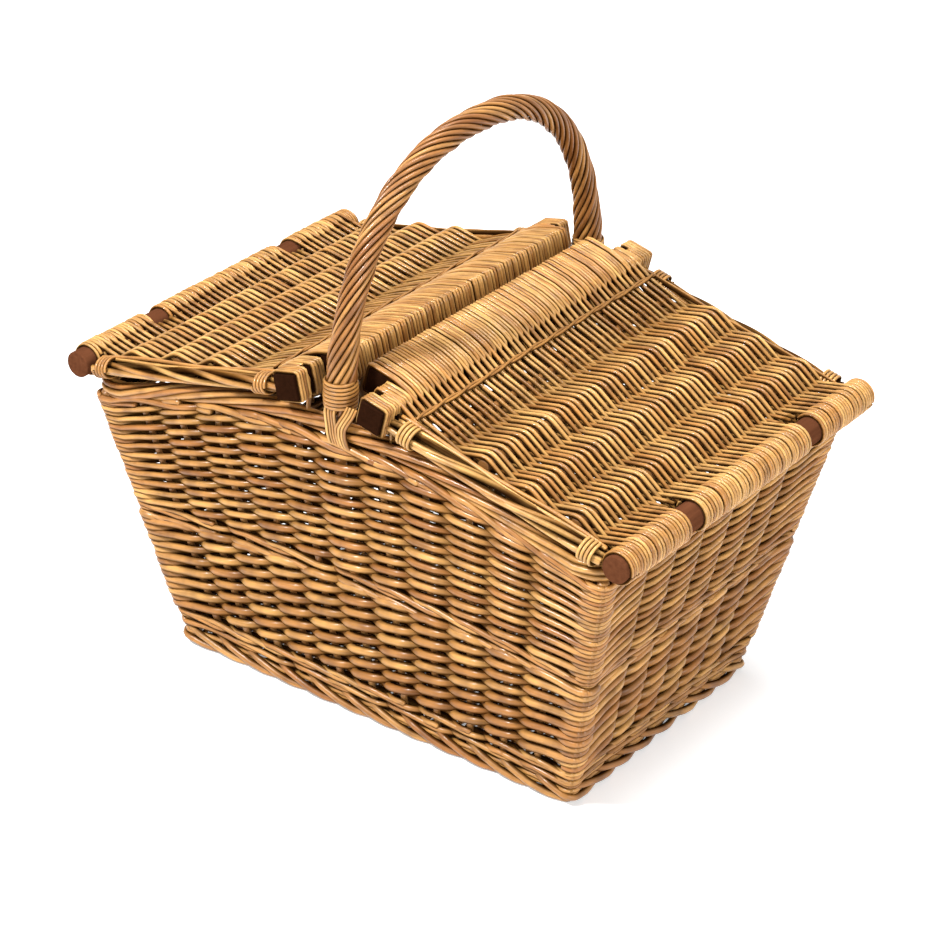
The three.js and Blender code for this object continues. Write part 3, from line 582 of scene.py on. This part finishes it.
def tie_hinges(material):
    """Two turns of thin cane over the neck of each bar and into the border."""
    for x, lid in ((-hinge_x, "left"), (hinge_x, "right")):
        for side, name in ((-1, "front"), (1, "back")):
            bundle = Bundle()
            reach = 8.7 * mm
            for turn in (-1, 1):
                arc = np.radians(np.linspace(0, 180, 15))
                legs = np.array((282, 292, 302)) * mm
                xs = np.r_[np.full(3, reach), reach * np.cos(arc), np.full(3, -reach)]
                zs = np.r_[legs, hinge_z + reach * np.sin(arc), legs[::-1]]
                ys = np.full(len(xs), side * half_rim[1] + turn * 1.15 * mm)
                bundle.rod(np.stack((x + xs, ys, zs), axis=-1), 1.1 * mm, (0, 1, 0))
            node = f"hinge_loop_{lid}_{name}"
            bundle.piece(f"cane_loop_{lid}_{name}", material, "basket", "willow_binding", node)


# Lids

def on_lid(lid, points):
    """Points of a lid's own frame, s, y and n, in the frame of the hamper."""
    s, y, n = np.asarray(points, float).T
    x = hinge_x + s * math.cos(lid_slope) + n * math.sin(lid_slope)
    z = hinge_z - s * math.sin(lid_slope) + n * math.cos(lid_slope)
    turn = 1 if lid == "right" else -1
    return np.stack((turn * x, turn * y, z), axis=-1)


def lid_direction(lid, direction):
    origin = on_lid(lid, [(0, 0, 0)])[0]
    return tuple(on_lid(lid, [direction])[0] - origin)


def rounded(points, step, radius):
    """A path through points with its corners eased, at even steps."""
    points = np.asarray(points, float)
    run = np.r_[0, np.cumsum(np.linalg.norm(np.diff(points, axis=0), axis=1))]
    fine = np.linspace(0, run[-1], int(run[-1] / (0.5 * mm)))
    path = np.stack([np.interp(fine, run, points[:, axis]) for axis in range(points.shape[1])], axis=-1)
    width = max(3, int(radius / (0.5 * mm)) | 1)
    pad = width // 2
    padded = np.concatenate((np.repeat(path[:1], pad, 0), path, np.repeat(path[-1:], pad, 0)))
    kernel = np.hanning(width + 2)[1:-1]
    kernel /= kernel.sum()
    eased = [np.convolve(padded[:, axis], kernel, "valid") for axis in range(points.shape[1])]
    path = np.stack(eased, axis=-1)
    keep = np.unique(np.round(np.linspace(0, len(path) - 1, max(4, int(run[-1] / step)))).astype(int))
    return path[keep]


def strand_profile(upper, bare_stick, y):
    """One strand of a lid, s and n: up round the bars, down beside them, under and over the sticks, and
    round the outer stick. An upper strand goes over the first stick, and a lower one under it."""
    top = bar / 2 + lid_rod + 0.2 * mm
    if abs(y) < tongue_length / 2 - 1 * mm:
        low, high = tongue_n - top, tongue_n + top
        back = tongue_s - top
        points = [(back + 9 * mm, low), (back, low), (back, high)]
        points += [(tongue_s + top, high), (4 * mm, 13.5 * mm)]
    else:
        points = [(-top + 8 * mm, -top), (-top, -top), (-top, top), (4 * mm, top + 0.3 * mm)]
    (first_s, first_n, first_radius), *others = cross_sticks
    first_lift = first_radius + lid_rod + 0.2 * mm
    if upper:
        points += [(12.5 * mm, 9.8 * mm), (20 * mm, 6.6 * mm), (27 * mm, 3.5 * mm)]
        points += [(first_s, first_n + first_lift)]
    else:
        points += [(11.4 * mm, 11 * mm), (13 * mm, 5 * mm), (22 * mm, -3 * mm)]
        points += [(first_s - 6 * mm, first_n - first_lift), (first_s + 4 * mm, first_n - first_lift)]
    side = -1 if upper else 1
    for s, n, radius in others:
        lift = side * (radius + lid_rod + 1.35 * mm)
        points += [(s - 2 * mm, n + lift), (s + 2 * mm, n + lift)]
        side = -side
    points += [(195.5 * mm, 0.0)]
    roll = outer_stick_radius + lid_rod + 0.1 * mm
    if bare_stick:
        points += [(stick_s - 18 * mm, side * 4 * mm), (stick_s - 13.5 * mm, side * 5 * mm)]
    else:
        arc = side * np.radians(np.linspace(115, -200 if upper else -165, 16))
        points += [(stick_s + roll * math.cos(turn), roll * math.sin(turn)) for turn in arc]
    return np.array(points)


def weave_lid(lid, material):
    """Ninety strands side by side, every second one over a stick where its neighbours go under it."""
    bundle = Bundle()
    pitch = lid_panel / lid_strands
    ref = lid_direction(lid, (0, 1, 0))
    for strand in range(lid_strands):
        y = (strand + 0.5) * pitch - lid_panel / 2
        bare_stick = abs(abs(y) - 85 * mm) < 10 * mm
        path = rounded(strand_profile(strand % 2 == 0, bare_stick, y), 4 * mm, 7 * mm)
        s, n = path.T
        drift = 0.3 * mm * np.sin(s / (30 * mm) + chance.uniform(0, 6))
        ys = y + np.clip(chance.normal(0, 0.34 * mm), -0.6 * mm, 0.6 * mm) + drift
        points = on_lid(lid, np.stack((s, ys, n + chance.normal(0, 0.25 * mm)), axis=-1))
        on_bands = (s > 16 * mm) & (s < 207 * mm)
        thicker = np.where(on_bands, np.clip(np.abs(n) / (6 * mm), 0, 1), 0)
        thicker[1:-1] = (thicker[:-2] + thicker[1:-1] + thicker[2:]) / 3
        radius = lid_rod * (1.02 + 0.24 * thicker) * chance.uniform(0.93, 1.06)
        # painted shade: on the bands, strands are darker the lower they lie, as in the shade of the strands
        # over them
        depth = np.where(on_bands, np.clip(0.7 + 0.3 * n / (6 * mm), 0.2, 1), 1)
        # painted shade: flanks darkened, so dark lines part the strands, and round the outer stick across the
        # roll
        from_stick = np.stack((s - stick_s, s * 0, n), axis=-1)
        from_stick /= np.linalg.norm(from_stick, axis=1, keepdims=True)
        outward = np.where(s[:, None] > 207 * mm, on_lid(lid, from_stick) - on_lid(lid, from_stick * 0),
                           frames(points, ref)[1])
        bundle.rod(points, radius, ref, out=outward, depth=depth)
    ys = np.linspace(-lid_panel / 2 + 2 * mm, lid_panel / 2 - 2 * mm, 90)
    unsteady = 0.35 * mm * np.sin(ys / (17 * mm)) + 0.2 * mm * np.sin(ys / (6 * mm))
    fold_rod = np.stack((27 * mm + unsteady, ys, 6.3 * mm + unsteady / 2), axis=-1)
    square_up = lid_direction(lid, (0, 0, 1))
    for strand in (0, math.pi):
        turn = ys / (9 * mm) + strand
        twist = np.stack((1.2 * mm * np.cos(turn), ys * 0, 0.5 * mm * np.sin(turn)), axis=-1)
        # painted shade: depth 0.8 darkens the fold rods' outer side a little and their inner side more
        bundle.rod(on_lid(lid, fold_rod + twist), 1.3 * mm, square_up, tone=0.15, out=square_up, depth=0.8)
    edge = bar / 2 + 1.5 * mm
    roll = outer_stick_radius + 1.5 * mm
    whole = [(edge, -edge), (edge, edge), (-edge, edge), (-edge, -edge), (edge - 1 * mm, -edge)]
    over_loop = [(edge, 3.5 * mm), (edge, edge), (-4 * mm, edge)]
    for side in (-1, 1):
        for wrap in range(10):
            y = tongue_length / 2 + 2.2 * mm + wrap * 3.1 * mm
            corners = over_loop if abs(y - half_rim[1]) < 3.4 * mm else whole
            path = rounded(corners, 3 * mm, 4 * mm)
            points = on_lid(lid, np.stack((path[:, 0], np.full(len(path), side * y), path[:, 1]), axis=-1))
            # painted shade: the wraps are darkened on their flanks and on the side towards the bar
            outward = on_lid(lid, np.stack((path[:, 0], path[:, 0] * 0, path[:, 1]), axis=-1) / edge)
            outward = outward - on_lid(lid, np.zeros((1, 3)))
            bundle.rod(points, 1.5 * mm, ref, out=outward / np.linalg.norm(outward, axis=1, keepdims=True))
        for wrap in range(4):
            if lid == "left" and side == 1 and wrap > 0:
                continue  # the front end of the left stick is bare
            y = side * (lid_panel / 2 + 1.5 * mm + wrap * 2.8 * mm)
            arc = np.linspace(0, 2 * math.pi * 0.97, 24)
            circle = np.stack((np.cos(arc), arc * 0, np.sin(arc)), axis=-1)
            # painted shade: the turns round the outer stick are darkened on their flanks and on the side
            # towards the stick
            outward = on_lid(lid, circle) - on_lid(lid, circle * 0)
            bundle.rod(on_lid(lid, circle * roll + (stick_s, y, 0)), 1.4 * mm, ref, out=outward)
    bundle.piece(f"{lid}_lid_rods", material, f"{lid}_lid", "willow_lid_weave", f"{lid}_lid_weave")


def turned_stick(name, radius, length, lid, s, n, bevel):
    """A round stick across a lid, its ends a little eased."""
    deselect()
    level = (math.pi / 2, 0, 0)
    bpy.ops.mesh.primitive_cylinder_add(vertices=40, radius=radius, depth=length, rotation=level)
    stick = bpy.context.object
    stick.name = name
    stick.data.name = name
    stick.location = on_lid(lid, [(s, 0, n)])[0]
    bpy.ops.object.transform_apply(location=True, rotation=True, scale=True)
    eased = stick.modifiers.new("eased ends", "BEVEL")
    eased.width = bevel
    eased.segments = 3
    eased.limit_method = "ANGLE"
    bpy.ops.object.modifier_apply(modifier="eased ends")
    bpy.ops.object.shade_smooth_by_angle(angle=math.radians(40))
    count = len(stick.data.vertices)
    # the shade attribute is an even 0.75 here, so the willow material's painted-shade mix darkens the rungs
    # evenly a little
    for name, value in (("tone", 0.2), ("shade", 0.75)):
        stick.data.attributes.new(name, "FLOAT", "POINT").data.foreach_set("value", np.full(count, value))
    return stick


def set_lid_sticks(lid, outer_material, cross_material):
    outer = turned_stick(f"{lid}_lid_roller", outer_stick_radius, outer_stick_length, lid, stick_s, 0, 1 * mm)
    outer.data.materials.append(outer_material)
    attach(outer, f"{lid}_lid")
    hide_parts(f"{lid}_lid_outer_stick")
    for number, (s, n, radius) in enumerate(cross_sticks, 1):
        stick = turned_stick(f"{lid}_lid_rung_{number}", radius, cross_stick_length, lid, s, n, 0.6 * mm)
        stick.data.materials.append(cross_material)
        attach(stick, f"{lid}_lid")
        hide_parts(f"{lid}_lid_cross_stick_{number}")


def side_rods(lid, material):
    """Six rods along each side of a lid, twisted a little, two thinner ones beside the weave, and a binding
    near each end."""
    start, stop = 13.2 * mm, stick_s - 14.2 * mm
    for name, side in (("front", -1), ("back", 1)):
        local = side if lid == "right" else -side
        bundle = Bundle()
        for rod in range(6):
            s = np.linspace(start, stop, 40)
            share = (s - start) / (stop - start)
            angle = 2 * math.pi * (rod / 6 + 0.8 * share * local) + 0.35 * np.sin(share * 7 + rod * 2.1)
            loose = 1 + 0.22 * np.sin(share * math.pi)
            across = np.stack((s * 0, np.cos(angle), 0.55 * np.sin(angle)), axis=-1)
            # painted shade: the flanks of each twisted rod and its side towards the bundle's middle are
            # darkened
            outward = on_lid(lid, across) - on_lid(lid, across * 0)
            middle = np.stack((s, s * 0 + local * side_y, s * 0 - 3.5 * mm), axis=-1)
            size = chance.uniform(2.0, 2.7) * mm
            points = on_lid(lid, middle + across * (5.3 * mm * loose)[:, None])
            bundle.rod(points, size, lid_direction(lid, (0, 0, 1)), out=outward)
        for lift, gap in ((1.4 * mm, 4.6 * mm), (3.2 * mm, 5.8 * mm)):
            s = np.linspace(start + 3 * mm, stop - 3 * mm, 30)
            sway = 0.5 * mm * np.sin(s / (21 * mm) + lift / mm)
            points = on_lid(lid, np.stack((s, local * (side_y - gap + sway), lift - 2 * sway), axis=-1))
            up = lid_direction(lid, (0, 0, 1))
            # painted shade: the thin rods' flanks are darkened, bright where they face out and up
            bundle.rod(points, 1.8 * mm, up, out=lid_direction(lid, (0, local * 0.5, 0.8)))
        node = f"{lid}_lid_border_{name}"
        bundle.piece(f"{lid}_lid_edge_{name}", material, f"{lid}_lid", "willow_border", node)
        for place, s in (("inner", 24 * mm), ("outer", stick_s - 32.4 * mm)):
            binding = Bundle()
            turns, steps = 4, 18
            t = np.arange(turns * steps + 1) / steps
            angle = 2 * math.pi * t
            circle = np.stack((t * 0, np.cos(angle), np.sin(angle)), axis=-1)
            middle = np.stack((s + t * 3.3 * mm, t * 0 + local * side_y, t * 0 - 3.0 * mm), axis=-1)
            outward = on_lid(lid, circle) - on_lid(lid, circle * 0)
            points = on_lid(lid, middle + circle * (0, 9.8 * mm, 7.4 * mm))
            # painted shade: the flanks of each binding turn and its side towards the rods are darkened
            binding.rod(points, 1.5 * mm, lid_direction(lid, (1, 0, 0)), out=outward)
            label = f"{lid}_lid_binding_{name}_{place}"
            binding.piece(f"{label}_rod", material, f"{lid}_lid", "willow_binding", label)


# Finishes

def tint(tree, low, high, factor):
    ramp = tree.nodes.new("ShaderNodeMix")
    ramp.data_type = "RGBA"
    ramp.inputs["A"].default_value = (*low, 1)
    ramp.inputs["B"].default_value = (*high, 1)
    tree.links.new(factor, ramp.inputs["Factor"])
    return ramp.outputs["Result"]


def willow(name, pale, mid, dark, roughness=0.42):
    """Varnished willow: each rod its own tone, fine streaks along it and blotches."""
    material = bpy.data.materials.new(name)
    material.use_nodes = True
    tree = material.node_tree
    nodes, links = tree.nodes, tree.links
    shader = nodes["Principled BSDF"]
    tone = nodes.new("ShaderNodeAttribute")
    tone.attribute_name = "tone"
    base = tint(tree, mid, pale, tone.outputs["Fac"])
    where = nodes.new("ShaderNodeTexCoord")
    length = nodes.new("ShaderNodeMapping")
    length.inputs["Scale"].default_value = (0, 32, 1)
    links.new(where.outputs["UV"], length.inputs["Vector"])
    blotch = nodes.new("ShaderNodeTexNoise")
    blotch.inputs["Scale"].default_value = 1
    blotch.inputs["Detail"].default_value = 3
    links.new(length.outputs["Vector"], blotch.inputs["Vector"])
    sharper = nodes.new("ShaderNodeMapRange")
    sharper.inputs["From Min"].default_value = 0.42
    sharper.inputs["From Max"].default_value = 0.72
    links.new(blotch.outputs["Fac"], sharper.inputs["Value"])
    stretch = nodes.new("ShaderNodeMapping")
    stretch.inputs["Scale"].default_value = (9, 26, 1)
    links.new(where.outputs["UV"], stretch.inputs["Vector"])
    streak = nodes.new("ShaderNodeTexNoise")
    streak.inputs["Scale"].default_value = 1
    streak.inputs["Detail"].default_value = 4
    links.new(stretch.outputs["Vector"], streak.inputs["Vector"])
    shade = nodes.new("ShaderNodeMath")
    shade.operation = "MULTIPLY"
    links.new(sharper.outputs["Result"], shade.inputs[0])
    shade.inputs[1].default_value = 0.75
    darker = nodes.new("ShaderNodeMix")
    darker.data_type = "RGBA"
    links.new(shade.outputs[0], darker.inputs["Factor"])
    links.new(base, darker.inputs["A"])
    darker.inputs["B"].default_value = (*dark, 1)
    lines = nodes.new("ShaderNodeMapRange")
    lines.inputs["From Min"].default_value = 0.35
    lines.inputs["From Max"].default_value = 0.75
    lines.inputs["To Min"].default_value = 1.0
    lines.inputs["To Max"].default_value = 0.72
    links.new(streak.outputs["Fac"], lines.inputs["Value"])
    final = nodes.new("ShaderNodeMix")
    final.data_type = "RGBA"
    final.blend_type = "MULTIPLY"
    final.inputs["Factor"].default_value = 1
    links.new(darker.outputs["Result"], final.inputs["A"])
    links.new(lines.outputs["Result"], final.inputs["B"])
    # Painted shade: the shade attribute mixes the colour towards near black on rod flanks, on sides turned in
    # and where rods lie behind others
    shade_of_rod = nodes.new("ShaderNodeAttribute")
    shade_of_rod.attribute_name = "shade"
    painted_shade_mix = nodes.new("ShaderNodeMix")
    painted_shade_mix.data_type = "RGBA"
    painted_shade_mix.inputs["A"].default_value = (0.018, 0.005, 0.0012, 1)
    links.new(shade_of_rod.outputs["Fac"], painted_shade_mix.inputs["Factor"])
    links.new(final.outputs["Result"], painted_shade_mix.inputs["B"])
    links.new(painted_shade_mix.outputs["Result"], shader.inputs["Base Color"])
    for socket, most in (("Specular IOR Level", 0.32), ("Coat Weight", 0.3)):
        painted_shade_gloss = nodes.new("ShaderNodeMapRange")  # specular and coat fade with the painted shade, to none where the shade is below 0.35
        painted_shade_gloss.inputs["From Min"].default_value = 0.35
        painted_shade_gloss.inputs["To Max"].default_value = most
        links.new(shade_of_rod.outputs["Fac"], painted_shade_gloss.inputs["Value"])
        links.new(painted_shade_gloss.outputs["Result"], shader.inputs[socket])
    gloss = nodes.new("ShaderNodeMapRange")
    gloss.inputs["To Min"].default_value = roughness - 0.1
    gloss.inputs["To Max"].default_value = roughness + 0.12
    links.new(streak.outputs["Fac"], gloss.inputs["Value"])
    links.new(gloss.outputs["Result"], shader.inputs["Roughness"])
    bump = nodes.new("ShaderNodeBump")
    bump.inputs["Strength"].default_value = 0.35
    bump.inputs["Distance"].default_value = 0.0004
    links.new(streak.outputs["Fac"], bump.inputs["Height"])
    links.new(bump.outputs["Normal"], shader.inputs["Normal"])
    shader.inputs["Coat Roughness"].default_value = 0.16
    return material


def stained_wood(name, dark, light, roughness=0.5):
    """Planed wood with a dark stain: long grain along Y."""
    material = bpy.data.materials.new(name)
    material.use_nodes = True
    tree = material.node_tree
    nodes, links = tree.nodes, tree.links
    shader = nodes["Principled BSDF"]
    where = nodes.new("ShaderNodeTexCoord")
    stretch = nodes.new("ShaderNodeMapping")
    stretch.inputs["Scale"].default_value = (260, 22, 260)
    links.new(where.outputs["Object"], stretch.inputs["Vector"])
    grain = nodes.new("ShaderNodeTexNoise")
    grain.inputs["Scale"].default_value = 1
    grain.inputs["Detail"].default_value = 5
    links.new(stretch.outputs["Vector"], grain.inputs["Vector"])
    links.new(tint(tree, dark, light, grain.outputs["Fac"]), shader.inputs["Base Color"])
    bump = nodes.new("ShaderNodeBump")
    bump.inputs["Strength"].default_value = 0.3
    bump.inputs["Distance"].default_value = 0.0003
    links.new(grain.outputs["Fac"], bump.inputs["Height"])
    links.new(bump.outputs["Normal"], shader.inputs["Normal"])
    shader.inputs["Roughness"].default_value = roughness
    shader.inputs["Specular IOR Level"].default_value = 0.0
    return material


def look_from(azimuth, elevation, roll, distance, aim, lens):
    """The camera, turned about the point that it aims at."""
    a, e = math.radians(azimuth), math.radians(elevation)
    back = Vector((math.sin(a) * math.cos(e), -math.cos(a) * math.cos(e), math.sin(e)))
    right = Vector((math.cos(a), math.sin(a), 0))
    up = back.cross(right)
    turn = Matrix((right, up, back)).transposed()
    data = bpy.data.cameras.new("view")
    data.sensor_width = 36
    data.lens = lens
    camera = bpy.data.objects.new("view", data)
    bpy.context.scene.collection.objects.link(camera)
    place = Vector((0, 0, aim[2])) + right * aim[0] + up * aim[1] + back * distance
    tilt = Matrix.Rotation(math.radians(roll), 4, "Z")
    camera.matrix_world = Matrix.Translation(place) @ turn.to_4x4() @ tilt
    bpy.context.scene.camera = camera


def soft_lamp(name, place, aim, size, power):
    data = bpy.data.lights.new(name, "AREA")
    data.shape = "DISK"
    data.size = size
    data.energy = power
    lamp = bpy.data.objects.new(name, data)
    bpy.context.scene.collection.objects.link(lamp)
    lamp.location = place
    lamp.rotation_euler = (Vector(aim) - Vector(place)).to_track_quat("-Z", "Y").to_euler()


def studio():
    """A pale floor, a white world for the camera, and soft lamps."""
    scene = bpy.context.scene
    scene.view_settings.view_transform = "Standard"
    world = bpy.data.worlds.new("studio")
    scene.world = world
    world.use_nodes = True
    nodes, links = world.node_tree.nodes, world.node_tree.links
    nodes.clear()
    path = nodes.new("ShaderNodeLightPath")
    seen = nodes.new("ShaderNodeMath")
    seen.operation = "MAXIMUM"
    links.new(path.outputs["Is Camera Ray"], seen.inputs[0])
    links.new(path.outputs["Is Glossy Ray"], seen.inputs[1])
    white = nodes.new("ShaderNodeBackground")
    white.inputs["Color"].default_value = (1, 1, 1, 1)
    white.inputs["Strength"].default_value = 1.0
    dim = nodes.new("ShaderNodeBackground")
    dim.inputs["Color"].default_value = (1, 1, 1, 1)
    dim.inputs["Strength"].default_value = 0.16
    mix = nodes.new("ShaderNodeMixShader")
    links.new(seen.outputs[0], mix.inputs[0])
    links.new(dim.outputs[0], mix.inputs[1])
    links.new(white.outputs[0], mix.inputs[2])
    out = nodes.new("ShaderNodeOutputWorld")
    links.new(mix.outputs[0], out.inputs["Surface"])

    deselect()
    bpy.ops.mesh.primitive_circle_add(vertices=96, radius=6, fill_type="NGON", location=(0, 0, -0.0005))
    floor = bpy.context.object
    floor.name = "pale_floor"
    material = bpy.data.materials.new("pale floor")
    material.use_nodes = True
    shader = material.node_tree.nodes["Principled BSDF"]
    shader.inputs["Base Color"].default_value = (0.9, 0.9, 0.9, 1)
    shader.inputs["Roughness"].default_value = 0.9
    floor_nodes, floor_links = material.node_tree.nodes, material.node_tree.links
    floor_path = floor_nodes.new("ShaderNodeLightPath")
    floor_seen = floor_nodes.new("ShaderNodeMath")
    floor_seen.operation = "MAXIMUM"
    floor_links.new(floor_path.outputs["Is Camera Ray"], floor_seen.inputs[0])
    floor_links.new(floor_path.outputs["Is Glossy Ray"], floor_seen.inputs[1])
    whiter = floor_nodes.new("ShaderNodeMath")
    whiter.operation = "MULTIPLY"
    whiter.inputs[1].default_value = 0.4
    floor_links.new(floor_seen.outputs[0], whiter.inputs[0])
    shader.inputs["Emission Color"].default_value = (1, 1, 1, 1)
    floor_links.new(whiter.outputs[0], shader.inputs["Emission Strength"])
    floor.data.materials.append(material)

    soft_lamp("key", (-1.0, -2.0, 2.9), (0, 0, 0.2), 0.5, 175)
    soft_lamp("fill", (2.6, -1.2, 1.4), (0, 0, 0.2), 1.6, 62)
    soft_lamp("top", (0.5, 0.3, 3.0), (0, 0, 0.3), 1.2, 80)


look_from(35.665, 28.978, 1.330, 2.539, (0.0027, -0.0202, 0.2), 120.7)
studio()
wall_willow = willow("varnished willow", (0.68, 0.35, 0.095), (0.4, 0.155, 0.032), (0.1, 0.03, 0.006))
stake_willow = willow("willow stakes", (0.5, 0.26, 0.085), (0.32, 0.13, 0.034), (0.12, 0.04, 0.01))
fine_willow = willow("fine lid willow", (0.72, 0.4, 0.12), (0.47, 0.205, 0.045), (0.12, 0.038, 0.008))
rope_willow = willow("twisted handle willow", (0.52, 0.25, 0.068), (0.29, 0.105, 0.022), (0.1, 0.03, 0.006))
dark_bar_wood = stained_wood("dark bar wood", (0.008, 0.003, 0.0015), (0.026, 0.009, 0.004), 0.9)
brown_stick_wood = stained_wood("brown stick wood", (0.055, 0.018, 0.008), (0.14, 0.05, 0.022), 0.6)
weave_walls(wall_willow)
set_stakes(stake_willow)
set_posts(stake_willow)
weave_base(wall_willow, stake_willow)
weave_foot_border(wall_willow)
weave_border(wall_willow)
twist_handle(rope_willow)
wind_collars(fine_willow)
tie_lashings(fine_willow)
tie_hinges(fine_willow)
for lid in ("right", "left"):
    weave_lid(lid, fine_willow)
    set_lid_sticks(lid, brown_stick_wood, stake_willow)
    side_rods(lid, fine_willow)
for name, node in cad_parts.items():
    if name.endswith("_bar"):
        node.data.materials.clear()
        node.data.materials.append(dark_bar_wood)
